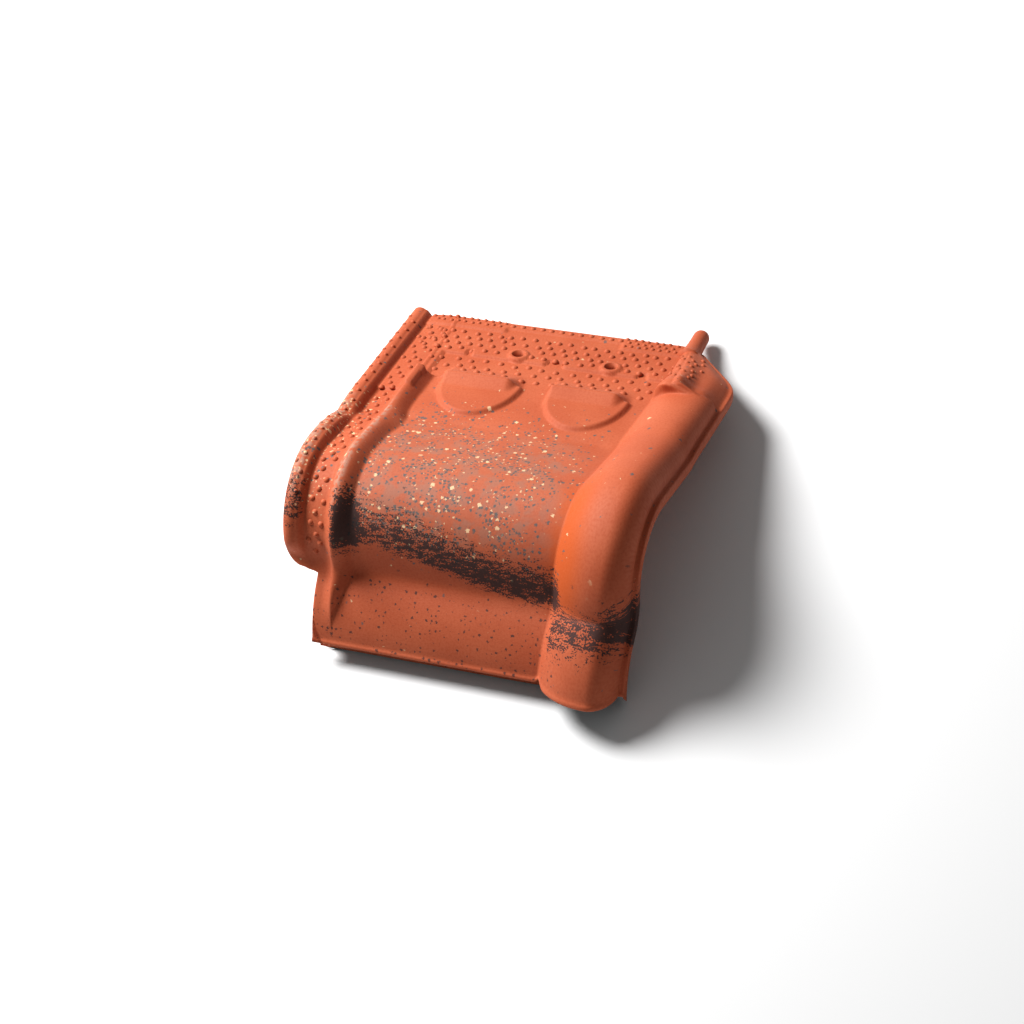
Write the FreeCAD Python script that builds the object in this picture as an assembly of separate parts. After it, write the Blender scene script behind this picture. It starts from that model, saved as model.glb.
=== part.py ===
import FreeCAD, Part
import math
import os

# Pitch change roof tile: one pressed and fired clay piece.  Its upper end lies on the
# steeper or flatter slope above, then the body turns over the change of pitch and hangs
# down as an apron.  The pan carries water, the roll on the right covers the neighbour,
# and the side lock on the left slips under the next tile's roll.
#
# Every feature is set in three tile coordinates:
#   x  across the tile, 0 at the outer edge of the side lock
#   s  along the upper face of the pan, 0 at the head edge, growing down the slope
#   h  square out from the upper face of the pan, below it negative

# ---- Driving dimensions, millimetres and degrees ----

# Side profile of the pan: (length along the face, turn downwards over that length)
HEAD_FLAT = 121.5
PROFILE = [
    (HEAD_FLAT, 0.0),   # flat head, under the tile of the course above
    (14.0, 6.0),        # slight lead-in
    (10.0, -11.7),      # shallow valley fold
    (50.8, 0.0),        # straight pan
    (81.7, 101.6),      # the change of pitch
    (5.8, 0.0),
    (20.0, -47.5),      # flare where the apron kicks out
    (44.2, 36.8),       # rounded apron
]

BODY_T = 11.0           # thickness of the fired body
HEAD_W = 262.0          # overall width at the head
ROLL_EDGE_TAPER = 0.050     # the roll's outer edge moves in by this per mm of slope
ROLL_FOOT_X = 214.0     # where the pan meets the roll, at the head
ROLL_FOOT_TAPER = 0.083     # the pan narrows by this per mm of slope
ROLL_H_HEAD = 9.7       # crown of the roll above the pan, at the head
ROLL_H_GAIN = 0.038     # the crown rises by this per mm of slope
ROLL_CROWN_IN = 20.0    # crown line, measured in from the roll's outer edge
FLANGE_W = 4.0          # narrow flange along the roll's outer edge
FLANGE_T = 7.5          # its thickness

RIM_W = 12.0            # outer bead of the side lock
RIM_H = 7.5
CHANNEL_H = -1.0        # floor of the lock channel
LIP_X = 36.0            # crest of the lip between channel and pan
LIP_H = 6.5
LIP_FOOT_X = 46.0       # where the lip's wall meets the pan
LOCK_END_S = 297.0      # the side lock stops here
APRON_EDGE_X = 22.5     # left edge of the apron below the side lock

HOLE_R = 4.8            # nail holes
HOLE_S = 43.0
HOLE_X = (97.6, 167.7)
RING_R = 7.5            # raised ring round each nail hole
RING_H = 1.6

BAR_H = 1.5             # two raised bars along the head edge
BAR_S = (0.0, 14.0)
BAR_X = ((15.0, 77.0), (166.0, 211.0))

SCALE_W = 60.0          # two raised drip scales on the pan below the nail holes
SCALE_X = (85.7, 165.3)     # middle of each scale
SCALE_TOP_S = 86.0      # straight upper edge
SCALE_RAMP = 26.0       # ramp leading up to that edge
SCALE_DROP_S = 130.0    # lowest point of the rounded lower edge
SCALE_H = 4.5
SCALE_LOW_H = 2.0

HIP_S = 78.0            # the closed upper end of the roll starts here
HIP_RISE = 6.5          # and stands above the roll by this much
HIP_TIP_S = 8.0

NOSE_X = 216.5          # stub at the head, beside the roll
NOSE_R = 6.0
NOSE_OUT = 27.0
CORNER_X = 224.0        # the head corner is cut off from here
CORNER_S = 43.0         # to here on the outer edge

DRIP_TILT = 38.0        # the apron's lower end is cut this far forward of upright
DRIP_X0 = 30.0          # the slanted end starts here, inside the apron's left corner

NIB_X = (75.0, 180.0)   # hanging nibs under the head
NIB_W = 34.0
NIB_L = 12.0
NIB_S = 6.0
NIB_H = 13.0

# ---- The pan's side profile ----


def profile_length():
    return sum(length for length, turn in PROFILE)


def station(s):
    """Position and downward slope (radians) of the pan's upper face at s."""
    y = 0.0
    z = 0.0
    slope = 0.0
    left = s
    for index, (length, turn) in enumerate(PROFILE):
        last = index == len(PROFILE) - 1
        step = left if (left <= length or last) else length
        if turn == 0.0:
            y -= step * math.cos(slope)
            z -= step * math.sin(slope)
        else:
            radius = length / math.radians(turn)
            after = slope + step / radius
            y -= radius * (math.sin(after) - math.sin(slope))
            z -= radius * (math.cos(slope) - math.cos(after))
            slope = after
        left -= step
        if left <= 1e-9:
            break
    return y, z, slope


def at(x, s, h):
    """Point in space for the tile coordinates x, s, h."""
    y, z, slope = station(s)
    return FreeCAD.Vector(x, y - h * math.sin(slope), z + h * math.cos(slope))


def roll_edge(s):
    return HEAD_W - ROLL_EDGE_TAPER * s


def roll_foot(s):
    return ROLL_FOOT_X - ROLL_FOOT_TAPER * s


def roll_height(s):
    return ROLL_H_HEAD + ROLL_H_GAIN * s


def apron_left(s):
    """Left edge of the apron, drawn in at its bottom corner."""
    corner = max(0.0, s - (profile_length() - 14.0)) / 14.0
    return APRON_EDGE_X + 6.0 * corner ** 2


# ---- One cross section, square to the pan's face ----


def roll_curve(s, x0, x1, h0, h1, crown_x, crown_h):
    """Rounded back of the roll: a shallow arc up to the crown, a steep one down."""
    points = []
    run = crown_x - x0
    rise = crown_h - h0
    radius = (run * run + rise * rise) / (2.0 * rise)
    for k in range(5):
        x = x0 + run * k / 5.0
        h = crown_h - radius + math.sqrt(radius ** 2 - (crown_x - x) ** 2)
        points.append(at(x, s, h))
    for k in range(6):
        angle = math.pi / 2.0 * k / 5.0
        x = crown_x + (x1 - crown_x) * math.sin(angle)
        h = h1 + (crown_h - h1) * math.cos(angle)
        points.append(at(x, s, h))
    curve = Part.BSplineCurve()
    curve.interpolate(points)
    return curve.toShape()


def line(p, q):
    return Part.makeLine(p, q)


def section(s, with_lock):
    """Closed outline of the tile at s, with the side lock or with the plain apron edge."""
    foot = roll_foot(s)
    edge = roll_edge(s)
    crown = roll_height(s)
    crown_x = edge - ROLL_CROWN_IN
    edges = []
    if with_lock:
        a = at(0.0, s, -BODY_T + 5.0)
        b = at(0.0, s, RIM_H - 4.5)
        c = at(RIM_W / 2.0, s, RIM_H)
        d = at(RIM_W, s, RIM_H - 4.5)
        e = at(RIM_W + 2.0, s, CHANNEL_H)
        edges.append(line(a, b))
        edges.append(Part.Arc(b, c, d).toShape())
        edges.append(line(d, e))
        start = a
        under = at(6.0, s, -BODY_T)
    else:
        left = apron_left(s)
        start = at(left, s, -BODY_T + 4.0)
        e = at(left, s, CHANNEL_H)
        edges.append(line(start, e))
        under = at(left + 4.0, s, -BODY_T)
    f = at(LIP_X - 4.5, s, CHANNEL_H)
    g = at(LIP_X - 1.5, s, LIP_H - 0.7)
    k = at(LIP_X, s, LIP_H)
    m = at(LIP_X + 1.5, s, LIP_H - 0.7)
    n = at(LIP_FOOT_X, s, 0.0)
    o = at(foot, s, 0.0)
    edges.append(line(e, f))
    edges.append(line(f, g))
    edges.append(Part.Arc(g, k, m).toShape())
    edges.append(line(m, n))
    edges.append(line(n, o))
    outer = roll_curve(s, foot, edge - FLANGE_W, 0.0, -1.0, crown_x, crown)
    edges.append(outer)
    p = at(edge - FLANGE_W, s, -1.0)
    q = at(edge, s, -2.0)
    r = at(edge, s, -2.0 - FLANGE_T)
    t = at(edge - FLANGE_W - 6.0, s, -2.0 - FLANGE_T)
    u = at(foot + 7.0, s, -BODY_T)
    edges.append(line(p, q))
    edges.append(line(q, r))
    edges.append(line(r, t))
    inner = roll_curve(s, foot + 7.0, edge - FLANGE_W - 6.0, -BODY_T, -2.0 - FLANGE_T,
                       crown_x - 3.0, crown - BODY_T + 1.5)
    edges.append(inner)
    edges.append(line(u, under))
    edges.append(line(under, start))
    return Part.Wire(Part.__sortEdges__(edges))


def stretch(s0, s1, turn, with_lock):
    """Solid length of tile between two stations."""
    steps = max(1, int(math.ceil(abs(turn) / 9.0)))
    wires = [section(s0 + (s1 - s0) * k / steps, with_lock) for k in range(steps + 1)]
    return Part.makeLoft(wires, True, turn == 0.0)


def body():
    pieces = []
    s = 0.0
    for length, turn in PROFILE:
        end = s + length
        if s < LOCK_END_S < end:
            part_turn = turn * (LOCK_END_S - s) / length
            pieces.append(stretch(s, LOCK_END_S, part_turn, True))
            pieces.append(stretch(LOCK_END_S, end, turn - part_turn, False))
        else:
            pieces.append(stretch(s, end, turn, end <= LOCK_END_S))
        s = end
    whole = pieces[0]
    for piece in pieces[1:]:
        whole = whole.fuse(piece)
    return whole


# ---- Features of the flat head, where y = -s and z = h ----


def slab(x0, x1, s0, s1, h0, h1):
    """Plain block over the flat head."""
    corner = FreeCAD.Vector(x0, -s1, h0)
    return Part.makeBox(x1 - x0, s1 - s0, h1 - h0, corner)


def prism(points, h0, h1):
    """Upright block on the flat head with a straight-sided outline."""
    corners = [FreeCAD.Vector(x, -s, h0) for x, s in points]
    corners.append(corners[0])
    face = Part.Face(Part.makePolygon(corners))
    return face.extrude(FreeCAD.Vector(0, 0, h1 - h0))


def drip_scale(middle):
    """Raised scale: a ramp up to a straight edge, then a low apron with a rounded rim."""
    x0 = middle - SCALE_W / 2.0
    ramp_top = SCALE_TOP_S - SCALE_RAMP
    side = [
        (ramp_top, -1.0),
        (ramp_top, 0.0),
        (SCALE_TOP_S, SCALE_H),
        (SCALE_TOP_S + 7.0, SCALE_LOW_H + 0.4),
        (SCALE_DROP_S, SCALE_LOW_H),
        (SCALE_DROP_S, -1.0),
    ]
    corners = [FreeCAD.Vector(x0, -s, h) for s, h in side]
    corners.append(corners[0])
    blank = Part.Face(Part.makePolygon(corners)).extrude(FreeCAD.Vector(SCALE_W, 0, 0))
    a = FreeCAD.Vector(x0, -ramp_top, -1.0)
    b = FreeCAD.Vector(x0, -(SCALE_TOP_S + 10.0), -1.0)
    c = FreeCAD.Vector(middle, -SCALE_DROP_S, -1.0)
    d = FreeCAD.Vector(x0 + SCALE_W, -(SCALE_TOP_S + 10.0), -1.0)
    e = FreeCAD.Vector(x0 + SCALE_W, -ramp_top, -1.0)
    edges = [line(a, b), Part.Arc(b, c, d).toShape(), line(d, e), line(e, a)]
    outline = Part.Face(Part.Wire(edges)).extrude(FreeCAD.Vector(0, 0, SCALE_H + 2.0))
    return blank.common(outline)


def hip():
    """Closed upper end of the roll: a half cone rising from the head to a collar."""
    wires = []
    for s, share in ((HIP_TIP_S, 0.15), (HIP_S, 1.0)):
        foot = roll_foot(s)
        edge = roll_edge(s) - FLANGE_W
        top = 2.0 + (roll_height(HIP_S) + HIP_RISE - 2.0) * share
        points = []
        for k in range(13):
            angle = math.pi * k / 12.0
            x = (foot + edge) / 2.0 - (edge - foot) / 2.0 * math.cos(angle)
            points.append(at(x, s, -2.0 + (top + 2.0) * math.sin(angle)))
        curve = Part.BSplineCurve()
        curve.interpolate(points)
        wires.append(Part.Wire([curve.toShape(), line(points[-1], points[0])]))
    return Part.makeLoft(wires, True, True)


def nose():
    """Stub beyond the head edge, a round bead with a domed end."""
    base = FreeCAD.Vector(NOSE_X, -14.0, -1.0)
    length = NOSE_OUT + 14.0 - NOSE_R
    rod = Part.makeCylinder(NOSE_R, length, base, FreeCAD.Vector(0, 1, 0))
    tip = Part.makeSphere(NOSE_R, FreeCAD.Vector(NOSE_X, length - 14.0, -1.0))
    return rod.fuse(tip)


def nib(middle):
    """Hanging nib: a tapered block under the head, square on its batten side."""
    x0 = middle - NIB_W / 2.0
    side = [
        (NIB_S, -BODY_T + 1.0),
        (NIB_S + 2.0, -BODY_T - NIB_H),
        (NIB_S + NIB_L, -BODY_T - NIB_H),
        (NIB_S + NIB_L, -BODY_T + 1.0),
    ]
    corners = [FreeCAD.Vector(x0, -s, h) for s, h in side]
    corners.append(corners[0])
    return Part.Face(Part.makePolygon(corners)).extrude(FreeCAD.Vector(NIB_W, 0, 0))


def tile():
    shape = body()
    additions = [hip(), nose(), drip_edge()]
    additions += [drip_scale(x) for x in SCALE_X]
    additions += [nib(x) for x in NIB_X]
    additions += [slab(x0, x1, BAR_S[0], BAR_S[1], -1.0, BAR_H) for x0, x1 in BAR_X]
    up = FreeCAD.Vector(0, 0, 1)
    for x in HOLE_X:
        additions.append(Part.makeCylinder(RING_R, RING_H + 1.0, at(x, HOLE_S, -1.0), up))
    for piece in additions:
        shape = shape.fuse(piece)
    for x in HOLE_X:
        low = at(x, HOLE_S, -BODY_T - 1.0)
        shape = shape.cut(Part.makeCylinder(HOLE_R, BODY_T + RING_H + 2.0, low, up))
    corner = prism([(CORNER_X, -1.0), (HEAD_W + 30.0, -1.0), (HEAD_W + 30.0, CORNER_S + 1.0),
                    (HEAD_W + 0.8, CORNER_S + 1.0)], -40.0, 40.0)
    shape = shape.cut(corner)
    return shape


# ---- Lower end ----


def drip_point(x):
    """Lowest corner of the slanted end, where it meets the underside's plane."""
    y, z, slope = station(profile_length())
    tilt = math.radians(DRIP_TILT)
    depth = BODY_T / math.cos(slope - tilt)
    corner = at(x, profile_length(), 0.0)
    return corner + FreeCAD.Vector(0, depth * math.sin(tilt), -depth * math.cos(tilt))


def drip_edge():
    """Wedge that slants the pan's lower end, so that water leaves its lowest corner."""
    end = profile_length()
    x1 = roll_foot(end) + 6.0
    corners = [at(DRIP_X0, end, 0.0), drip_point(DRIP_X0), at(DRIP_X0, end - 1.0, -BODY_T),
               at(DRIP_X0, end - 1.0, -0.2)]
    corners.append(corners[0])
    return Part.Face(Part.makePolygon(corners)).extrude(FreeCAD.Vector(x1 - DRIP_X0, 0, 0))


# ---- As it lies on the ground: nibs at the back, apron edge in front ----


def lowest_front():
    return drip_point(0.0)


def rest(shape):
    front = lowest_front()
    back = at(0.0, NIB_S + 2.0, -BODY_T - NIB_H)
    angle = math.degrees(math.atan2(back.z - front.z, back.y - front.y))
    shape = shape.copy()
    shape.rotate(FreeCAD.Vector(0, 0, 0), FreeCAD.Vector(1, 0, 0), -angle)
    box = shape.optimalBoundingBox(True, False)
    shape.translate(FreeCAD.Vector(-(box.XMin + box.XMax) / 2.0,
                                   -(box.YMin + box.YMax) / 2.0, -box.ZMin))
    return shape, angle


part, rest_angle = rest(tile())
os.makedirs("parts", exist_ok=True)
part.exportStep("parts/tile.step")
box = part.optimalBoundingBox(True, False)
print("valid", part.isValid(), "solids", len(part.Solids), "volume", round(part.Volume))
print("size", round(box.XLength, 2), round(box.YLength, 2), round(box.ZLength, 2))
print("rest angle", round(rest_angle, 3))
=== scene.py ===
# %% [markdown]
# # Pitch change roof tile
# One fired clay tile that carries the roof covering over a change of pitch.  This
# lesson rebuilds its looks around the measured solid: the pressed surface with its
# side lock, roll and collar, the studs, the nibs and the sprayed terracotta finish.
#
# Lengths below are millimetres in three tile coordinates, turned to metres at the end:
# x across the tile, s down the slope along the pan, h square out from the pan.

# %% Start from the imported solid
import math
import bmesh
import bpy
import numpy as np
from mathutils import Matrix, Vector


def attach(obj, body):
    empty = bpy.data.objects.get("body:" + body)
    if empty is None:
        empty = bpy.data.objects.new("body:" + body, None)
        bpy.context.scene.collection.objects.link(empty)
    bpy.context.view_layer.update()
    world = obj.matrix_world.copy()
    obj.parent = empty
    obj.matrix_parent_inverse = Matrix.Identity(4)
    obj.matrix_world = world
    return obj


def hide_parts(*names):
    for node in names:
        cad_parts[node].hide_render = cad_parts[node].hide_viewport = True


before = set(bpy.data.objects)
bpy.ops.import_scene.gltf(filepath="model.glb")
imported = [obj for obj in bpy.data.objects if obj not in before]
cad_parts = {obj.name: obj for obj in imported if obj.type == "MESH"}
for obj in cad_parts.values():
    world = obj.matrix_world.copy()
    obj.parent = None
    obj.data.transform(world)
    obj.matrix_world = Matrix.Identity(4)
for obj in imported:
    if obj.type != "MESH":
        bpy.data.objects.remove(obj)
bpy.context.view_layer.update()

# %% [markdown]
# ## The side profile
# The pan is one line of straight runs and arcs.  A flat head, a shallow valley, the
# large turn over the change of pitch, then a flare and a rounded apron.  Each run adds
# its own closed-form share, so a whole array of stations is placed at once.

# %% Side profile
PROFILE = [(121.5, 0.0), (14.0, 6.0), (10.0, -11.7), (50.8, 0.0),
           (81.7, 101.6), (5.8, 0.0), (20.0, -47.5), (44.2, 36.8)]
LENGTH = sum(length for length, turn in PROFILE)
REST_ANGLE = math.radians(21.58102)
REST_SHIFT = (-129.982, 143.049, 19.375)
BODY_T = 11.0
HEAD_W = 262.0
EDGE_TAPER = 0.050
CORNER_X = 222.0
CORNER_SLOPE = 40.0 / 47.0
CORNER_SOFT = 3.5
FOOT_X = 214.0
FOOT_TAPER = 0.083
ROLL_H_HEAD = 9.7
ROLL_H_GAIN = 0.038
CROWN_IN = 20.0
COLLAR_S = 78.0
APRON_EDGE_X = 22.5
LOCK_END_R = 13.0
LOCK_END_S = 296.0


def station(s):
    """Side profile: y, z and slope a at s.  A straight run of t adds (-t cos a, -t sin a);
    an arc of radius r adds (-r (sin a1 - sin a0), -r (cos a0 - cos a1))."""
    s = np.asarray(s, float)
    y = np.zeros_like(s)
    z = np.zeros_like(s)
    slope = np.zeros_like(s)
    a0 = 0.0
    start = 0.0
    for index, (length, turn) in enumerate(PROFILE):
        low = -1e9 if index == 0 else 0.0
        high = 1e9 if index == len(PROFILE) - 1 else length
        t = np.clip(s - start, low, high)
        if turn == 0.0:
            y -= t * math.cos(a0)
            z -= t * math.sin(a0)
        else:
            r = length / math.radians(turn)
            a = a0 + t / r
            y -= r * (np.sin(a) - math.sin(a0))
            z -= r * (math.cos(a0) - np.cos(a))
            slope += t / r
            a0 += math.radians(turn)
        start += length
    return y, z, slope


def place(x, s, h):
    """Metres in the solid's frame for tile coordinates: the point at s, moved h along
    the face's normal (-sin a, cos a), then turned by the rest angle and shifted."""
    y, z, slope = station(s)
    y = y - h * np.sin(slope)
    z = z + h * np.cos(slope)
    c, k = math.cos(REST_ANGLE), math.sin(REST_ANGLE)
    return np.stack([x + REST_SHIFT[0] + 0 * y,
                     y * c + z * k + REST_SHIFT[1],
                     z * c - y * k + REST_SHIFT[2]], -1) / 1000.0


def ramp(a, b, t):
    """Smooth step from 0 at a to 1 at b."""
    u = np.clip((t - a) / (b - a), 0.0, 1.0)
    return u * u * (3.0 - 2.0 * u)


print("length along the pan", round(LENGTH, 1), "mm")

# %% [markdown]
# ## Relief on the head
# The press leaves shallow steps: bars along the head edge, a raised head panel, a ring
# round each nail hole and two drip scales.  Each is a smooth step or a product of them.

# %% Relief
HOLES = [(97.6, 43.0), (167.7, 43.0)]
HOLE_R = 4.8
SCALES = [85.7, 165.3]
SCALE_HALF = 30.5
SCALE_TOP_S = 86.0
SCALE_DROP = 44.0
CREST_H = 8.0
SCALE_FOOT_H = 2.9
PANEL_H = 1.9
BAR_H = 1.4
RING_H = 3.5
BAND_H = 1.3
LIP_H = 7.4
BEAD_H = 5.6


def window(a, b, t, soft=1.0):
    """1 between a and b, 0 outside, with soft ends."""
    return ramp(a - soft, a + soft, t) * (1.0 - ramp(b - soft, b + soft, t))


def relief(x, s):
    """Height added to the flat head at x, s: the highest of the panel with its bars, the
    nail rings and the scales.  A scale climbs to its crest, drops in a hollow curve, and
    ends in a low half-ellipse foot."""
    edge = 50.0 - 7.0 * (window(59, 63, x) + window(120, 133, x) + window(189, 196, x))
    edge = edge + 60.0 * (1.0 - ramp(40.8, 42.4, x))
    h = PANEL_H * (1.0 - ramp(edge - 0.6, edge + 0.6, s))
    h = h * ramp(13.0, 15.0, x)
    bar = window(14, 77, x) * (1.0 - ramp(13.0, 14.6, s))
    bar = bar + 0.8 * window(77, 166, x) * (1.0 - ramp(7.6, 9.0, s))
    bar = bar + window(166, 212, x) * (1.0 - ramp(14.8, 16.4, s))
    h = h + BAR_H * bar
    for hx, hs in HOLES:
        r = np.hypot(x - hx, s - hs)
        h = np.maximum(h, RING_H * (1.0 - ramp(7.2, 8.8, r)))
    for middle in SCALES:
        u = (x - middle) / SCALE_HALF
        down = (s - SCALE_TOP_S) / SCALE_DROP
        inside = u * u + np.clip(down, 0, None) ** 2
        foot = 1.0 - ramp(0.86, 1.04, inside)
        side = ramp(-SCALE_HALF, -27.5, x - middle) * (1.0 - ramp(18.0, SCALE_HALF, x - middle))
        rise = np.clip((s - SCALE_TOP_S + 20.0) / 20.0, 0, 1) ** 1.5
        fall = np.clip((SCALE_TOP_S + 26.0 - s) / 26.0, 0, 1) ** 1.9
        crest = CREST_H * side * np.where(s <= SCALE_TOP_S, rise, fall)
        flat = SCALE_FOOT_H * foot * ramp(84.5, 86.5, s)
        h = np.maximum(h, np.maximum(crest, flat))
    return h


print("relief at the scale's crest", round(float(relief(np.array(80.0), np.array(85.5))), 2))

# %% [markdown]
# ## The pressed body
# The whole tile is one closed surface: a section curve that runs round the tile, swept
# down the slope.  The columns follow the section, from the outer bead of the side lock
# over the channel, lip, pan and roll, then back along the underside.

# %% Section
def roll_edge(s):
    """Outer edge of the roll: the smaller of the tapering side and the head's cut corner,
    joined by a soft minimum, so that the corner is rounded."""
    side = HEAD_W - EDGE_TAPER * s
    cut = CORNER_X + CORNER_SLOPE * (s + 2.0)
    near = 240.0
    both = np.exp(-(side - near) / CORNER_SOFT) + np.exp(-(cut - near) / CORNER_SOFT)
    return near - CORNER_SOFT * np.log(both)


def roll_foot(s):
    """Where the roll's left flank meets the pan; it moves left down the slope."""
    return FOOT_X - FOOT_TAPER * s


def left_edge(s):
    """Left edge: the lock's rounded end, then the narrower apron with a drawn-in corner."""
    t = np.clip(s - (LOCK_END_S - LOCK_END_R), 0.0, LOCK_END_R)
    lock = LOCK_END_R - np.sqrt(LOCK_END_R ** 2 - t * t)
    corner = np.clip(s - (LENGTH - 24.0), 0.0, 24.0) / 24.0
    step = (APRON_EDGE_X - LOCK_END_R) * ramp(LOCK_END_S, LOCK_END_S + 2.5, s)
    return lock + step + 8.5 * corner ** 1.7


def top_columns(s):
    """x and h of the upper face's columns at each station s, left to right: outer face,
    bead, channel, stud band, lip and its wall, then the plain pan.  The bead is an arc,
    the channel side a cosine, the lip a power curve, and its wall a cosine down to h = 0."""
    one = np.ones_like(s)
    lock = 1.0 - ramp(272.0, 291.0, s)
    fade = 1.0 - ramp(300.0, 338.0, s)
    wall = ramp(83.0, 85.0, s) * fade
    band = BAND_H * fade
    kink = 1.4 * np.exp(-((s - 184.0) / 16.0) ** 2) - 2.6 * np.exp(-((s - 153.0) / 7.0) ** 2)
    bead = band + (BEAD_H + kink) * lock
    floor_h = band - 1.2 * lock
    xs, hs = [], []

    def add(x, h):
        xs.append(x * one)
        hs.append(h * one)

    for u in (0.0, 0.3, 0.6, 0.85):
        add(0.0, -9.0 + (bead - 3.5 * lock + 9.0) * u)
    for a in np.linspace(math.pi, 0.2 * math.pi, 10):
        add(5.0 + 5.0 * math.cos(a), bead - 3.5 * lock * (1.0 - math.sin(a)))
    for u in np.linspace(0.15, 1, 7):
        drop = math.cos(0.5 * math.pi * u) ** 1.1 if u < 1 else 0.0
        add(9.0 + 5.2 * u, floor_h + (bead - 1.4 * lock - floor_h) * drop)
    for u in np.linspace(0.1, 1, 10):
        add(14.2 + 13.8 * u, floor_h + (band - floor_h) * u)
    for u in np.linspace(0.15, 1, 7):
        add(28.0 + 7.6 * u, band + (LIP_H - BAND_H) * wall * u ** 1.7)
    foot = 47.5 + 3.5 * np.exp(-((s - 152.0) / 12.0) ** 2) - 11.0 * ramp(293.0, 330.0, s)
    top = band + (LIP_H - BAND_H) * wall
    for u in np.linspace(0.08, 1, 11):
        fall = math.cos(0.5 * math.pi * u) ** 1.15 if u < 1 else 0.0
        head = 1.0 - ramp(84.0, 85.0, s)
        level = 35.6 + (52.0 - 35.6) * u
        walled = 35.6 + 0.8 * min(1.0, u * 8) + (foot - 36.4) * u
        add(walled * (1 - head) + level * head, (top * fall) * (1 - head))
    last = xs[-1]
    rest = roll_foot(s)
    for u in np.linspace(0, 1, 127)[1:]:
        add(last + (rest - last) * u, 0.0)
    return xs, hs


def roll_columns(s):
    """Roll and hip.  Below the collar a circle's arc climbs from the foot to the crown and
    a quarter ellipse drops to the flange.  Above it sine and cosine flanks meet over the
    roll's closed end, which falls towards the head.  A wavy collar blends the two."""
    edge = roll_edge(s)
    foot = roll_foot(s)
    crown = ROLL_H_HEAD + ROLL_H_GAIN * s
    crown_x = edge - CROWN_IN
    run = crown_x - foot
    radius = (run * run + crown * crown) / (2.0 * crown)
    share = np.clip(s / COLLAR_S, 0.0, 1.0)
    hip_foot = np.where(s > 45, 212.5 - 4.5 * ramp(45, 76, s), 211.5)
    hip_top = 4.5 + 13.0 * share ** 0.9 + 1.2 * np.exp(-((s - 71.0) / 5.0) ** 2)
    hip_x = 217.0 + 6.0 * share
    right = edge - 3.5
    xs, hs = [], []
    for u in np.linspace(0, 1, 27)[1:]:
        x = foot + run * u
        h = crown - radius + np.sqrt(np.clip(radius ** 2 - (crown_x - x) ** 2, 0, None))
        hx = hip_foot + (hip_x - hip_foot) * (1 - math.cos(0.5 * math.pi * u)) ** 0.8
        hh = hip_top * math.sin(0.5 * math.pi * u) ** 0.75
        collar = 1.0 - ramp(76.2, 78.6, s + 2.2 * math.sin(4.4 * u + 0.6) - 0.8)
        xs.append(x + (hx - x) * collar)
        hs.append(h + (hh - h) * collar)
    for u in np.linspace(0, 1, 25)[1:]:
        a = 0.5 * math.pi * u
        x = crown_x + (right - crown_x) * math.sin(a)
        h = -1.0 + (crown + 1.0) * math.cos(a)
        hx = hip_x + (right - hip_x) * u
        bump = 0.20 * math.sin(3.2 * math.pi * u) * share
        hh = -1.0 + (hip_top + 1.0) * (math.cos(0.5 * math.pi * u) ** 0.85 + bump * (1.0 - u))
        collar = 1.0 - ramp(76.2, 78.6, s + 2.0 * math.sin(5.2 * u + 4.4))
        xs.append(x + (hx - x) * collar)
        hs.append(h + (hh - h) * collar)
    for u in (0.35, 0.7, 0.9):
        xs.append(right + 3.5 * u)
        hs.append(-1.0 - 0.6 * u + 0.0 * s)
    xs.append(edge)
    hs.append(-2.2 + 0.0 * s)
    xs.append(edge + 0.3)
    hs.append(-5.0 + 0.0 * s)
    xs.append(edge - 0.2)
    hs.append(-9.0 + 0.0 * s)
    return xs, hs


def under_columns(s):
    """Underside, right to left: flange, hollow of the roll, plain pan, side lock.  The
    hollow is two quarter waves that meet under the crown, a wall's thickness below it."""
    edge = roll_edge(s)
    foot = roll_foot(s) + 7.0
    crown = ROLL_H_HEAD + ROLL_H_GAIN * s - BODY_T + 1.5
    right = np.maximum(edge - 10.0, foot + 4.0)
    crown_x = np.clip(edge - 23.0, foot + 2.0, None)
    crown = -9.5 + (crown + 9.5) * ramp(10.0, 60.0, s)
    xs, hs = [edge - 1.0], [-9.6 + 0.0 * s]
    for u in np.linspace(0, 1, 13):
        a = 0.5 * math.pi * (1 - u)
        xs.append(crown_x + (right - crown_x) * math.sin(a))
        hs.append(-9.5 + (crown + 9.5) * math.cos(a))
    for u in np.linspace(0, 1, 11)[1:]:
        a = 0.5 * math.pi * u
        xs.append(crown_x + (foot - crown_x) * u)
        hs.append(-BODY_T + (crown + BODY_T) * math.cos(a) ** 1.2 if u < 1 else -BODY_T + 0.0 * s)
    for u in np.linspace(0, 1, 24)[1:]:
        xs.append(foot + (6.0 - foot) * u)
        hs.append(-BODY_T + 0.0 * s)
    xs.append(2.0 + 0.0 * s)
    hs.append(-10.4 + 0.0 * s)
    return xs, hs


def rows():
    """Stations, closer on the head where the relief is, and at both ends."""
    head = np.concatenate([[0.0, 0.25, 0.8, 1.5], np.arange(2.4, 76.6, 0.9),
                           [77.1, 77.7, 78.3, 79.0], np.arange(79.8, 150.0, 1.05)])
    low = np.arange(150.5, LENGTH - 4.0, 1.55)
    low = low[(low < 295.0) | (low > 300.0)]
    step = np.array([295.2, 296.0, 296.8, 297.6, 298.5, 299.6])
    end = LENGTH - np.array([3.6, 3.0, 2.4, 1.8, 1.2, 0.8, 0.4, 0.15, 0.0])
    return np.sort(np.concatenate([head, low, step, end]))


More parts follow.
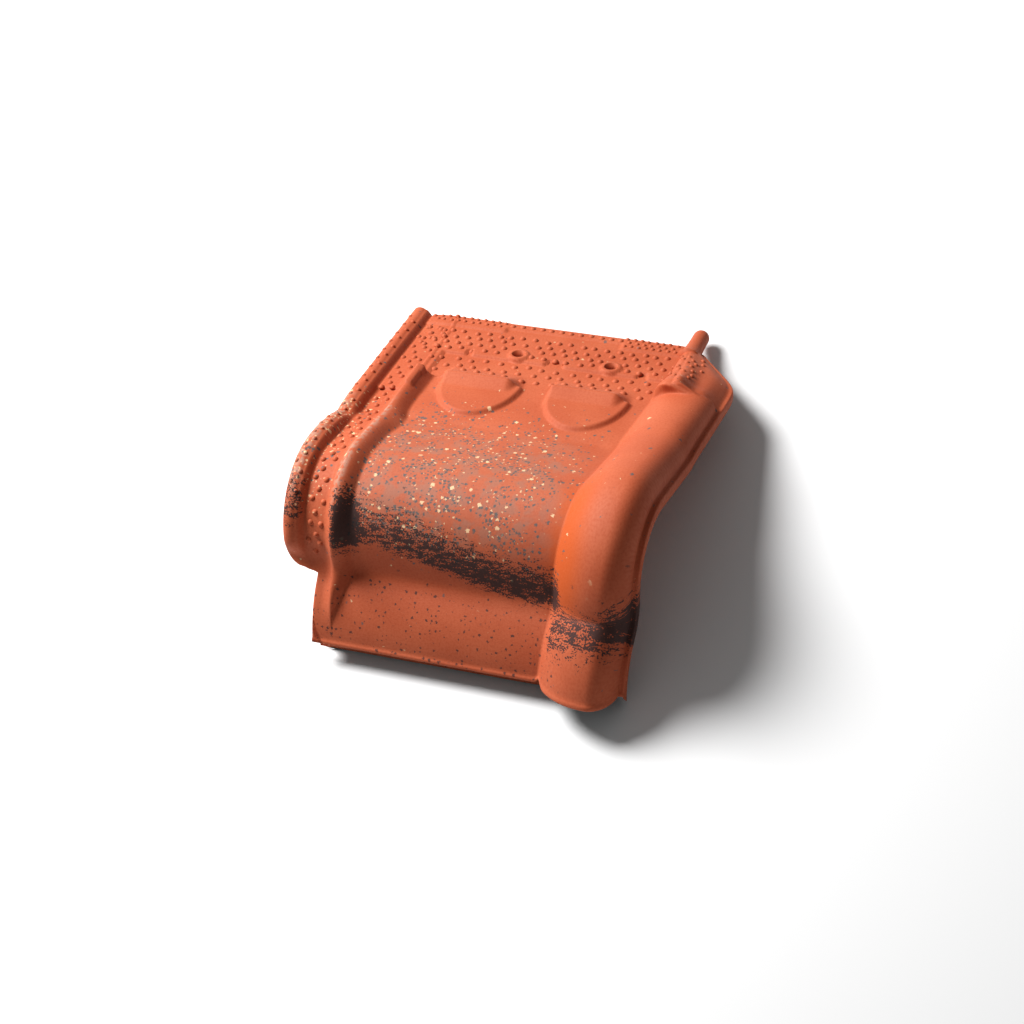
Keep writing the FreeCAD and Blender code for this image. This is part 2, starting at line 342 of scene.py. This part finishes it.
def body_surface():
    """Vertices, x, s and h of the closed body, columns by rows, and the number of columns
    on the upper face.  The relief and two soft creases are added to the pan, both ends are
    rounded by a quarter circle, and the lower end slants out towards the underside."""
    s = rows()
    top_x, top_h = top_columns(s)
    roll_x, roll_h = roll_columns(s)
    under_x, under_h = under_columns(s)
    pan_end = len(top_x)
    count_top = pan_end + len(roll_x)
    x = np.array(top_x + roll_x + under_x)
    h = np.array(top_h + roll_h + under_h)
    s2 = np.tile(s, (len(x), 1))
    left = left_edge(s)
    x = np.where(x < APRON_EDGE_X, left + x * (1.0 - left / APRON_EDGE_X), x)
    px, ps = x[:pan_end], s2[:pan_end]
    # the stud band already stands BAND_H high, so that much comes off the relief there
    add = relief(px, ps) - BAND_H * ramp(13.0, 15.0, px) * (1.0 - ramp(34.6, 35.8, px))
    h[:pan_end] += add * (1.0 - ramp(140.0, 150.0, ps)) * ramp(13.0, 15.0, px)
    on_pan = ramp(44.0, 50.0, px) * (1.0 - ramp(roll_foot(ps) - 14.0, roll_foot(ps), px))
    h[:pan_end] -= on_pan * (0.8 * np.exp(-((ps - 293.8) / 5.0) ** 2)
                             + 0.9 * np.exp(-((ps - 141.0) / 4.0) ** 2))
    n = count_top - 3
    is_under = np.arange(len(x))[:, None] >= count_top
    fall = np.clip(s - (LENGTH - 1.3), 0.0, 1.3)
    rim = 1.1 * ramp(LENGTH - 4.2, LENGTH - 2.0, s2[:n])
    h[:n] += rim - (1.3 - np.sqrt(1.69 - fall ** 2))
    head = np.clip(1.5 - s, 0.0, 1.5)
    h[:n] -= 1.5 - np.sqrt(2.25 - head ** 2)
    depth = np.where(is_under, BODY_T, np.clip(-h, 0.0, BODY_T))
    depth[:n] = 0.0
    in_roll = ramp(194.0, 204.0, x) * is_under
    depth *= 1.0 - 0.55 * in_roll
    s3 = s2 + ramp(LENGTH - 26.0, LENGTH, s2) * 1.08 * depth
    s3 = s3 - 5.0 * np.exp(-((x - 187.5) / 2.2) ** 2) * ramp(LENGTH - 9.0, LENGTH, s2)
    return place(x, s3, h), x, s2, h, count_top


def mesh_object(name, verts, faces, uv):
    """Smooth-shaded object with its tile coordinates in the UV map "tile"."""
    mesh = bpy.data.meshes.new(name)
    mesh.from_pydata(verts.reshape(-1, 3).tolist(), [], faces)
    mesh.update()
    layer = mesh.uv_layers.new(name="tile")
    loops = np.zeros(len(mesh.loops), np.int64)
    mesh.loops.foreach_get("vertex_index", loops)
    layer.data.foreach_set("uv", uv.reshape(-1, 2)[loops].astype(np.float32).ravel())
    mesh.polygons.foreach_set("use_smooth", np.ones(len(mesh.polygons), bool))
    obj = bpy.data.objects.new(name, mesh)
    bpy.context.scene.collection.objects.link(obj)
    return obj


def grid_faces(columns, count):
    """Quads of a grid of columns closed round on itself, each column with count rows."""
    j, i = np.meshgrid(np.arange(columns), np.arange(count - 1), indexing="ij")
    k = (j + 1) % columns
    quads = np.stack([j * count + i, j * count + i + 1, k * count + i + 1, k * count + i], -1)
    return quads.reshape(-1, 4).tolist()


verts, bx, bs, bh, count_top = body_surface()
columns, count = verts.shape[:2]
faces = grid_faces(columns, count)
faces.append([j * count for j in range(columns)])
faces.append([j * count + count - 1 for j in range(columns)][::-1])
body = mesh_object("tile_body", verts, faces, np.stack([bx / 100.0, bs / 100.0], -1))
print("body", columns, "columns", count, "rows", len(body.data.polygons), "faces")

# %% [markdown]
# ## Nail holes
# Two round holes are punched square through the head before firing.  Two cylinders cut
# them through the closed body, so the walls are real and light passes through.

# %% Nail holes
def tube(name, x, s, h, radii, axis, sides=40):
    """Closed surface of revolution in tile space: circles of the given radii at the
    places x, s, h, square to the axis ("h" or "s"), closed by a centre point each end."""
    a = np.linspace(0, 2 * math.pi, sides, endpoint=False)
    r = np.asarray(radii, float)[:, None]
    u, v = r * np.cos(a), r * np.sin(a)
    px = np.asarray(x, float)[:, None] + u
    ps = np.asarray(s, float)[:, None] + (v if axis == "h" else 0 * v)
    ph = np.asarray(h, float)[:, None] + (0 * v if axis == "h" else v)
    ring = place(px, ps, ph)
    n = len(radii)
    ends = place(np.array([x[0], x[-1]]), np.array([s[0], s[-1]]), np.array([h[0], h[-1]]))
    points = np.concatenate([ring.reshape(-1, 3), ends])
    i, j = np.meshgrid(np.arange(n - 1), np.arange(sides), indexing="ij")
    k = (j + 1) % sides
    quads = np.stack([i * sides + j, (i + 1) * sides + j, (i + 1) * sides + k, i * sides + k], -1)
    faces = quads.reshape(-1, 4).tolist()
    near, far = n * sides, n * sides + 1
    faces += [(near, m, (m + 1) % sides) for m in range(sides)]
    base = (n - 1) * sides
    faces += [(far, base + (m + 1) % sides, base + m) for m in range(sides)]
    uv = np.stack([np.append(px.ravel(), [x[0], x[-1]]), np.append(ps.ravel(), [s[0], s[-1]])], -1)
    obj = mesh_object(name, points, faces, uv / 100.0)
    outward(obj)
    return obj


def outward(obj):
    """Turns a closed mesh's faces outward."""
    bm = bmesh.new()
    bm.from_mesh(obj.data)
    bmesh.ops.recalc_face_normals(bm, faces=bm.faces)
    bm.to_mesh(obj.data)
    bm.free()


outward(body)
for hx, hs in HOLES:
    cutter = tube("cutter", [hx, hx], [hs, hs], [-14.0, 6.0], [HOLE_R, HOLE_R], "h")
    cut = body.modifiers.new("hole", "BOOLEAN")
    cut.object = cutter
    cut.solver = "EXACT"
    with bpy.context.temp_override(object=body, active_object=body):
        bpy.ops.object.modifier_apply(modifier="hole")
    bpy.data.objects.remove(cutter)
print("body after the holes", len(body.data.polygons), "faces")

# %% [markdown]
# ## Stub and hanging nibs
# A round stub runs on from the roll's closed end and keys the next course.  Two nibs
# under the head hang the tile on its batten.  All are pressed with the body, so each
# starts inside it.

# %% Stub and nibs
t = np.linspace(0, 1, 12)
straight = 14.0 - 35.0 * t
dome = np.linspace(0, 0.5 * math.pi, 8)[1:-1]
stub_s = np.concatenate([straight, -21.0 - 6.0 * np.sin(dome)])
stub_r = np.concatenate([6.0 + 3.0 * np.exp(-(14.0 - straight) / 9.0), 6.0 * np.cos(dome)])
stub_h = -1.0 + 1.5 * np.exp(-(14.0 - stub_s) / 8.0)
stub = tube("stub", 216.5 + 0 * stub_s, stub_s, stub_h, stub_r, "s", 36)


def nib(name, middle):
    """Hanging nib: a block tapering on its upslope side, edges eased by a bevel."""
    side = [(6.0, -10.0), (8.0, -24.0), (18.0, -24.0), (18.0, -10.0)]
    pts = np.array([(middle + k * 17.0, s, h) for k in (-1, 1) for s, h in side])
    faces = [(0, 1, 2, 3), (7, 6, 5, 4)]
    faces += [(i, i + 4, (i + 1) % 4 + 4, (i + 1) % 4) for i in range(4)]
    obj = mesh_object(name, place(pts[:, 0], pts[:, 1], pts[:, 2]), faces, pts[:, :2] / 100.0)
    outward(obj)
    bevel = obj.modifiers.new("eased", "BEVEL")
    bevel.width = 0.0015
    bevel.segments = 3
    return obj


nibs = [nib("nib_left", 75.0), nib("nib_right", 180.0)]
print("stub reaches", round(float(stub_s.min()), 1), "mm; nibs", len(nibs))

# %% [markdown]
# ## Studs
# Small keyed bumps cover the head, the channel and the bead, to hold tiles apart while
# they are stacked and to key mortar.  They are pressed by drilled dimples in the mould,
# so they stand in loose rows.  One dome is repeated at every place.

# %% Studs
rng = np.random.RandomState(11)


def lattice(x0, x1, s0, s1, pitch, jitter):
    """Staggered rows of points over a rectangle, each moved a little."""
    rows_s = np.arange(s0, s1 + 1e-6, pitch * 0.87)
    found = []
    for row, s in enumerate(rows_s):
        x = np.arange(x0 + (row % 2) * pitch / 2, x1 + 1e-6, pitch)
        found.append(np.stack([x, s + 0 * x], -1))
    found = np.concatenate(found)
    return found + rng.uniform(-jitter, jitter, found.shape)


def clear_of_features(p):
    """True where a stud has room: off the holes and the panel's edge and off the scales."""
    keep = np.ones(len(p), bool)
    for hx, hs in HOLES:
        keep &= np.hypot(p[:, 0] - hx, p[:, 1] - hs) > 9.5
    keep &= ~((np.abs(p[:, 1] - 50.0) < 2.4) & (p[:, 0] > 42))
    for middle in SCALES:
        keep &= ~((np.abs(p[:, 0] - middle) < 33) & (p[:, 1] > 79))
    return keep


def joined(*sets):
    """Rows of x, s, radius and height from sets of points with one radius and height."""
    return np.concatenate([np.column_stack([p, np.full(len(p), r), np.full(len(p), h)])
                           for p, r, h in sets])


panel = lattice(20.0, 204.0, 20.0, 47.5, 9.2, 1.2)
below = lattice(44.0, 204.0, 56.0, 84.0, 11.0, 1.5)
bars = np.concatenate([lattice(18.0, 75.0, 2.5, 11.5, 5.6, 0.6),
                       lattice(168.0, 208.0, 2.5, 13.0, 5.4, 0.6)])
middle_row = lattice(80.0, 164.0, 4.6, 5.0, 7.6, 0.5)
channel = lattice(17.5, 27.0, 20.0, 284.0, 8.6, 1.3)
beside = lattice(31.0, 39.0, 22.0, 80.0, 9.0, 1.2)
bead = lattice(3.2, 7.0, 16.0, 246.0, 7.4, 0.7)
hip = lattice(214.0, 236.0, 24.0, 66.0, 7.6, 1.8)
hip = hip[hip[:, 0] < roll_edge(hip[:, 1]) - 6]
studs = joined((panel[clear_of_features(panel)], 2.2, 1.7),
               (below[clear_of_features(below)], 2.3, 1.5),
               (bars, 1.6, 1.2), (middle_row, 2.0, 1.3), (channel, 2.0, 1.5),
               (beside, 1.9, 1.4), (bead, 1.4, 1.0), (hip, 1.6, 1.1))
top_x, top_s, top_h = bx[:count_top], bs[:count_top], bh[:count_top]


def surface_height(x, s):
    """Height of the pressed face under a stud, read from the nearest row of the body."""
    row = int(np.argmin(np.abs(top_s[0] - s)))
    return float(np.interp(x, np.maximum.accumulate(top_x[:, row]), top_h[:, row]))


heights = np.array([surface_height(x, s) for x, s, r, h in studs])
SIDES = 9
angle = np.linspace(0, 2 * math.pi, SIDES, endpoint=False)
DOME = [(1.25, -0.5), (1.05, 0.15), (0.72, 0.62), (0.36, 0.92)]
rings = [np.stack([studs[:, 0, None] + studs[:, 2, None] * k * np.cos(angle),
                   studs[:, 1, None] + studs[:, 2, None] * k * np.sin(angle),
                   heights[:, None] + studs[:, 3, None] * lift + 0 * angle], -1) for k, lift in DOME]
caps = np.stack([studs[:, 0], studs[:, 1], heights + studs[:, 3]], -1)[:, None]
base = np.stack([studs[:, 0], studs[:, 1], heights - studs[:, 3] * 0.6], -1)[:, None]
points = np.concatenate(rings + [caps, base], 1)
per = points.shape[1]
one = []
for ring in range(len(DOME) - 1):
    for k in range(SIDES):
        m = (k + 1) % SIDES
        one.append((ring * SIDES + k, ring * SIDES + m, (ring + 1) * SIDES + m, (ring + 1) * SIDES + k))
for k in range(SIDES):
    m = (k + 1) % SIDES
    one.append(((len(DOME) - 1) * SIDES + k, (len(DOME) - 1) * SIDES + m, per - 2, per - 2))
quads = np.array(one)
tops = quads[:, 2] == quads[:, 3]
offset = np.arange(len(studs))[:, None, None] * per
faces = (quads[~tops] + offset).reshape(-1, 4).tolist()
faces += (quads[tops][:, :3] + offset).reshape(-1, 3).tolist()
floor_face = np.array([(k + 1) % SIDES for k in range(SIDES)])
under = np.stack([np.arange(SIDES), np.full(SIDES, per - 1), floor_face], -1)
faces += (under + offset).reshape(-1, 3).tolist()
stud_piece = mesh_object("studs", place(points[..., 0], points[..., 1], points[..., 2]), faces,
                         points[..., :2] / 100.0)
outward(stud_piece)
print("studs", len(studs), "faces", len(faces))

# %% [markdown]
# ## Camera
# The tile is seen from the front right, from well above, and tilted a little.  Place,
# turn and lens are worked out from angles and a distance, so the view is easy to change.

# %% Camera
def aim_camera(aim, distance, azimuth, elevation, roll, lens):
    """Camera at distance from aim, seen from azimuth (0 looks along +Y) and elevation."""
    az, el, turn = (math.radians(v) for v in (azimuth, elevation, roll))
    back = np.array([math.sin(az) * math.cos(el), -math.cos(az) * math.cos(el), math.sin(el)])
    side = np.array([math.cos(az), math.sin(az), 0.0])
    rise = np.cross(back, side)
    right = math.cos(turn) * side - math.sin(turn) * rise
    up = math.sin(turn) * side + math.cos(turn) * rise
    camera = bpy.data.objects.new("camera", bpy.data.cameras.new("camera"))
    camera.data.sensor_width = 36.0
    camera.data.lens = lens
    camera.data.clip_end = 30.0
    place_at = np.array(aim) + distance * back
    matrix = np.eye(4)
    matrix[:3, 0], matrix[:3, 1], matrix[:3, 2], matrix[:3, 3] = right, up, back, place_at
    camera.matrix_world = Matrix(matrix.tolist())
    bpy.context.scene.collection.objects.link(camera)
    bpy.context.scene.camera = camera
    return camera


# aim, distance, azimuth, elevation, roll and lens
CAMERA = ((0.00253, -0.02730, 0.03112), 1.5924, 29.956, 52.845, 15.614, 80.86)
aim_camera(*CAMERA)
print("camera from azimuth", CAMERA[2], "elevation", CAMERA[3])

# %% [markdown]
# ## Floor and light
# The tile lies on a plain pale floor.  One large soft lamp stands high on the left, so
# that the head is bright and the roll's right flank falls into shade.

# %% Floor and light
def plane(name, size):
    mesh = bpy.data.meshes.new(name)
    r = size / 2.0
    mesh.from_pydata([(-r, -r, 0), (r, -r, 0), (r, r, 0), (-r, r, 0)], [], [(0, 1, 2, 3)])
    obj = bpy.data.objects.new(name, mesh)
    bpy.context.scene.collection.objects.link(obj)
    return obj


def area_light(name, location, target, size, power):
    light = bpy.data.lights.new(name, "AREA")
    light.shape = "DISK"
    light.size = size
    light.energy = power
    obj = bpy.data.objects.new(name, light)
    direction = np.array(target, float) - np.array(location, float)
    obj.rotation_euler = Vector(direction).to_track_quat("-Z", "Y").to_euler()
    obj.location = location
    bpy.context.scene.collection.objects.link(obj)
    return obj


floor = plane("floor", 12.0)
floor_mat = bpy.data.materials.new("floor")
floor_mat.use_nodes = True
floor_mat.node_tree.nodes["Principled BSDF"].inputs["Base Color"].default_value = (0.74, 0.74, 0.74, 1)
floor_mat.node_tree.nodes["Principled BSDF"].inputs["Roughness"].default_value = 0.9
floor.data.materials.append(floor_mat)
world = bpy.data.worlds.new("studio")
world.use_nodes = True
world.node_tree.nodes["Background"].inputs[0].default_value = (1, 1, 1, 1)
world.node_tree.nodes["Background"].inputs[1].default_value = 0.22
bpy.context.scene.world = world
area_light("key", (-1.05, 0.34, 1.26), (0, 0, 0.05), 0.8, 52.0)
bpy.context.scene.view_settings.view_transform = "Standard"
bpy.context.scene.view_settings.look = "Medium High Contrast"
print("floor", tuple(round(v, 1) for v in floor.dimensions[:2]), "m, one lamp")

# %% [markdown]
# ## Fired clay with a sprayed finish
# The clay fires to a salmon red.  Before firing the tile is dusted: cream and grey
# specks fall on the turn of the pan, and dark sand lies in the flare and over the roll.
# Painted light is mixed in as well: a stronger orange on the roll's lit left flank, a
# painted highlight with the dust on the lip and the bead, and painted shade on the lip's
# wall and beside the bead, laid on with the sand.
# The masks are written in tile coordinates, carried by the UV map "tile" (x/100, s/100).

# %% Shader maths
class Val:
    """Wraps a shader socket so that sums, products and steps read like arithmetic."""

    def __init__(self, tree, socket):
        self.tree, self.socket = tree, socket

    def _math(self, kind, a, b):
        node = self.tree.nodes.new("ShaderNodeMath")
        node.operation = kind
        for slot, v in ((0, a), (1, b)):
            if isinstance(v, Val):
                self.tree.links.new(v.socket, node.inputs[slot])
            else:
                node.inputs[slot].default_value = v
        return Val(self.tree, node.outputs[0])

    def __add__(self, o):
        return self._math("ADD", self, o)

    def __radd__(self, o):
        return self._math("ADD", o, self)

    def __sub__(self, o):
        return self._math("SUBTRACT", self, o)

    def __rsub__(self, o):
        return self._math("SUBTRACT", o, self)

    def __mul__(self, o):
        return self._math("MULTIPLY", self, o)

    def __rmul__(self, o):
        return self._math("MULTIPLY", o, self)

    def step(self, a, b):
        """Smooth step from 0 at a to 1 at b, kept to 0..1."""
        node = self.tree.nodes.new("ShaderNodeMapRange")
        node.interpolation_type = "SMOOTHSTEP"
        self.tree.links.new(self.socket, node.inputs[0])
        for slot, v in ((1, a), (2, b)):
            if isinstance(v, Val):
                self.tree.links.new(v.socket, node.inputs[slot])
            else:
                node.inputs[slot].default_value = v
        return Val(self.tree, node.outputs[0])

    def window(self, a, b, c, d):
        """Rises from a to b and falls from c to d."""
        return self.step(a, b) * (1.0 - self.step(c, d))


class Shader:
    def __init__(self, name):
        self.material = bpy.data.materials.new(name)
        self.material.use_nodes = True
        self.tree = self.material.node_tree
        self.surface = self.tree.nodes["Principled BSDF"]

    def node(self, kind, settings=None, **inputs):
        """Adds a node: settings first, then socket values or links by name."""
        node = self.tree.nodes.new(kind)
        for key, value in (settings or {}).items():
            setattr(node, key, value)
        for key, value in inputs.items():
            self.put(node.inputs[key.replace("_", " ")], value)
        return node

    def put(self, socket, value):
        if isinstance(value, Val):
            self.tree.links.new(value.socket, socket)
        elif hasattr(value, "is_output"):
            self.tree.links.new(value, socket)
        else:
            socket.default_value = value

    def mix(self, factor, a, b):
        node = self.tree.nodes.new("ShaderNodeMix")
        node.data_type = "RGBA"
        self.put(node.inputs["Factor"], factor)
        self.put(node.inputs[6], a)
        self.put(node.inputs[7], b)
        return node.outputs[2]

    def value(self, socket):
        return Val(self.tree, socket)


def rgb(r, g, b):
    return (r, g, b, 1.0)


def clay_material():
    m = Shader("fired_clay")
    uv = m.node("ShaderNodeUVMap", {"uv_map": "tile"}).outputs["UV"]
    split = m.node("ShaderNodeSeparateXYZ", Vector=uv)
    x = m.value(split.outputs["X"]) * 100.0
    s = m.value(split.outputs["Y"]) * 100.0

    def noise(scale, detail=2.0, stretch=(1, 1, 1)):
        place_at = m.node("ShaderNodeMapping", Vector=uv, Scale=stretch).outputs[0]
        return m.value(m.node("ShaderNodeTexNoise", {"noise_dimensions": "2D"}, Vector=place_at,
                              Scale=scale, Detail=detail).outputs[0])

    def specks(cell, small, large, density, shift):
        """Dots, at most one a cell of that many mm, there with the given likelihood."""
        moved = m.node("ShaderNodeMapping", Vector=uv, Location=(shift, shift * 1.7, 0)).outputs[0]
        wobble = m.node("ShaderNodeTexNoise", {"noise_dimensions": "2D"}, Vector=uv, Scale=90.0)
        place_at = m.node("ShaderNodeVectorMath", {"operation": "MULTIPLY_ADD"})
        m.tree.links.new(wobble.outputs["Color"], place_at.inputs[0])
        place_at.inputs[1].default_value = (0.022, 0.022, 0.0)
        m.tree.links.new(moved, place_at.inputs[2])
        dots = m.node("ShaderNodeTexVoronoi", {"voronoi_dimensions": "2D"}, Vector=place_at.outputs[0],
                      Scale=100.0 / cell)
        tint = m.node("ShaderNodeSeparateColor", Color=dots.outputs["Color"])
        likely, size = m.value(tint.outputs[0]), m.value(tint.outputs[1])
        radius = (small + size * size * (large - small)) * (1.0 / cell)
        far = m.value(dots.outputs["Distance"]) - radius
        there = (likely - density).step(0.0, 0.01)
        return (1.0 - far.step(-0.05, 0.05)) * (1.0 - there)

    broad = noise(2.2, 3.0)
    fine = noise(60.0, 3.0)
    base = m.mix(broad.step(0.3, 0.7), rgb(0.400, 0.094, 0.040), rgb(0.440, 0.112, 0.050))
    base = m.mix(fine.step(0.35, 0.75) * 0.25, base, rgb(0.30, 0.045, 0.014))
    # painted light: a stronger orange on the roll's left flank over the turn, where the lamp from the
    # left lights it
    flank = x.window(180.0, 196.0, 204.0, 222.0) * s.window(185.0, 225.0, 270.0, 310.0)
    base = m.mix(flank * 0.7, base, rgb(0.45, 0.080, 0.008))
    turn = s.window(120.0, 185.0, 245.0, 276.0) * x.window(36.0, 60.0, 165.0, 205.0)
    haze = turn * (noise(9.0, 4.0).step(0.42, 0.62) * 0.45 + 0.15)
    base = m.mix(haze, base, rgb(0.27, 0.14, 0.10))
    # pale grey-tan on the lip and the bead over the turn: partly dust, partly a painted highlight on
    # these raised edges where the lamp lights them
    edges = x.window(30.0, 34.0, 37.0, 41.0) + x.window(-1, 1, 6, 10)
    edge_dust_and_highlight = s.window(120.0, 150.0, 225.0, 262.0) * edges
    base = m.mix(edge_dust_and_highlight * noise(30.0).step(0.35, 0.6) * 0.5, base, rgb(0.36, 0.28, 0.22))
    spray = s.window(92.0, 178.0, 250.0, 286.0) * (0.02 + 0.98 * x.window(34.0, 56.0, 150.0, 203.0))
    spray = spray * (0.35 + 1.1 * noise(5.0, 2.0).step(0.38, 0.62))
    lock = s.window(100.0, 150.0, 235.0, 262.0) * (1.0 - x.step(14.0, 36.0))
    grey = specks(2.6, 0.30, 1.3, spray * 0.66 + lock * 0.10, 0.31)
    base = m.mix(grey * 0.85, base, rgb(0.075, 0.088, 0.088))
    cream = specks(4.6, 0.30, 1.5, spray * 0.26 + lock * 0.34, 3.7)
    base = m.mix(cream, base, rgb(0.62, 0.42, 0.25))
    cream = specks(2.9, 0.22, 0.8, spray * 0.16 + lock * 0.34, 7.7)
    base = m.mix(cream, base, rgb(0.56, 0.38, 0.23))
    apron = s.window(290, 300, 400, 410) * 0.36 * (1.0 - x.step(195.0, 210.0))
    sparse = specks(3.4, 0.25, 1.1, apron, 5.1)
    base = m.mix(sparse * 0.85, base, rgb(0.07, 0.035, 0.03))
    q = s - x.step(55.0, 175.0) * 24.0
    band = q.window(228.0, 259.0, 264.0, 276.0) * (0.74 + 0.26 * x.step(60.0, 140.0))
    band = band * x.window(30.0, 44.0, 193.0, 200.0)
    over = (s + x.step(212.0, 244.0) * 9.0).window(270.0, 302.0, 310.0, 334.0)
    over = over * x.window(188.0, 196.0, 300.0, 310.0)
    # painted shade: the lip's wall and the side of the bead are darkened where they face away from the
    # lamp
    wall = s.window(222.0, 246.0, 262.0, 290.0) * x.window(30.0, 40.0, 46.0, 58.0) * 0.72
    wall = wall + s.window(225.0, 240.0, 252.0, 268.0) * x.window(-2.0, 0.0, 10.0, 14.0) * 0.62
    dark = band + over * (0.74 + 0.4 * x.step(215.0, 240.0)) + wall
    grain = noise(75.0, 3.0, (1.0, 1.4, 1.0)).step(0.33, 0.67) * 0.62
    grain = grain + noise(13.0, 4.0, (1.0, 2.6, 1.0)).step(0.36, 0.64) * 0.50
    # the near-black mix is dark sand in the band and over the roll, plus the painted shade of those
    # walls
    sand_and_painted_shade = (dark * 0.98 - grain).step(-0.04, 0.16)
    base = m.mix(sand_and_painted_shade * 0.90, base, rgb(0.026, 0.021, 0.022))
    m.put(m.surface.inputs["Base Color"], base)
    m.put(m.surface.inputs["Roughness"], 0.62 + fine * 0.12)
    m.surface.inputs["Specular IOR Level"].default_value = 0.28
    bump = m.node("ShaderNodeBump", Height=noise(95.0, 4.0), Strength=0.16, Distance=0.0006)
    m.put(m.surface.inputs["Normal"], bump.outputs[0])
    return m.material


clay = clay_material()
print("clay nodes", len(clay.node_tree.nodes))

# %% [markdown]
# ## Onto the part
# Everything is one fired piece, so each mesh rides on the tile's body, is shaded with
# the same clay, and the pressed body takes the place of the measured solid.

# %% Onto the part
pieces = [body, stub, stud_piece] + nibs
for piece in pieces:
    piece.data.materials.append(clay)
    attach(piece, "root")
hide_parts("tile")
print("pieces", [piece.name for piece in pieces])
